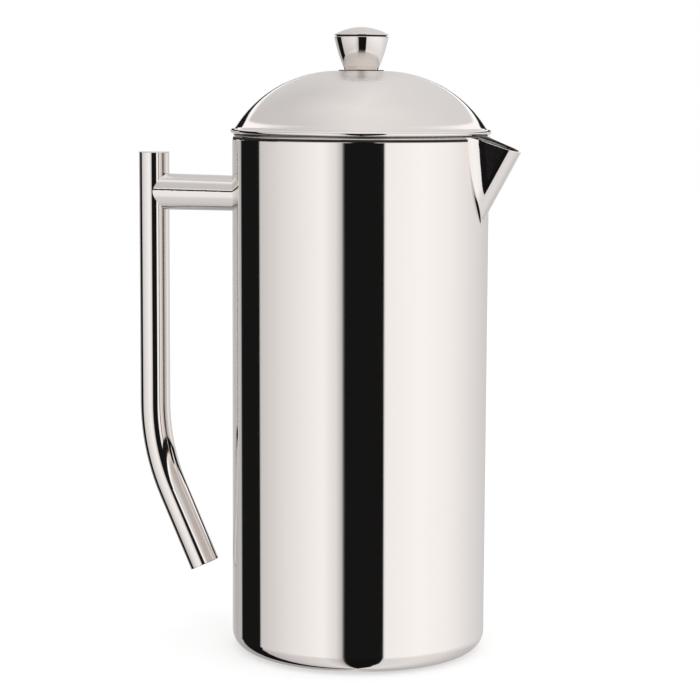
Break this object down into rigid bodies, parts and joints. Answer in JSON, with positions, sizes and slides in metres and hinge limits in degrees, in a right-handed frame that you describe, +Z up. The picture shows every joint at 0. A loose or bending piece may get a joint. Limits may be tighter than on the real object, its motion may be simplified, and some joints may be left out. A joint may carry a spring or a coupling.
{
  "type": "french press",
  "caption": "Double-walled steel coffee press: straight carafe with V spout and stand-off tube handle, domed lid, and a knobbed rod that slides and turns in the lid to push a mesh filter down.",
  "frame": {"origin": "centre of the flat base, on the surface the press stands on", "axes": "+Z up the carafe's axis, +X towards the pouring spout, handle on -X"},
  "size_m": [0.1647, 0.1034, 0.2488],
  "materials": {
    "polished_steel": "mirror-polished stainless steel",
    "satin_steel": "satin stainless steel with fine turning lines",
    "rod_steel": "ground and polished stainless rod",
    "fine_mesh": "fine woven stainless wire mesh",
    "coarse_mesh": "coarser woven stainless wire mesh",
    "spring_steel": "bright drawn spring wire"
  },
  "bodies": {
    "carafe": {"outer_shell": "polished_steel", "inner_liner": "satin_steel", "base_plate": "satin_steel", "port_plug": "satin_steel", "rim_ring": "polished_steel", "pouring_spout": "polished_steel", "handle_grip": "polished_steel", "handle_arm": "polished_steel", "grip_top_cap": "polished_steel", "grip_bottom_cap": "polished_steel"},
    "lid": {"lid_dome": "polished_steel", "lid_skirt": "satin_steel"},
    "guide": {"guide_bush": "polished_steel", "bush_washer": "satin_steel", "bush_nut": "satin_steel"},
    "plunger": {"plunger_rod": "rod_steel", "knob_body": "polished_steel", "knob_cap": "polished_steel", "stop_collar": "satin_steel", "spiral_plate": "satin_steel", "edge_spring": "spring_steel", "fine_screen": "fine_mesh", "coarse_screen": "coarse_mesh", "cross_plate": "satin_steel", "hub_nut": "satin_steel"}
  },
  "joints": [
    {"name": "lid_lift", "type": "slide", "parent": "carafe", "child": "lid", "axis": [0, 0, 1], "range_m": [0, 0.22]},
    {"name": "plunger_turn", "type": "hinge", "parent": "lid", "child": "guide", "pos_m": [0, 0, 0.2316], "axis": [0, 0, 1], "continuous": true},
    {"name": "plunger_slide", "type": "slide", "parent": "guide", "child": "plunger", "axis": [0, 0, 1], "range_m": [0, 0.165]}
  ]
}
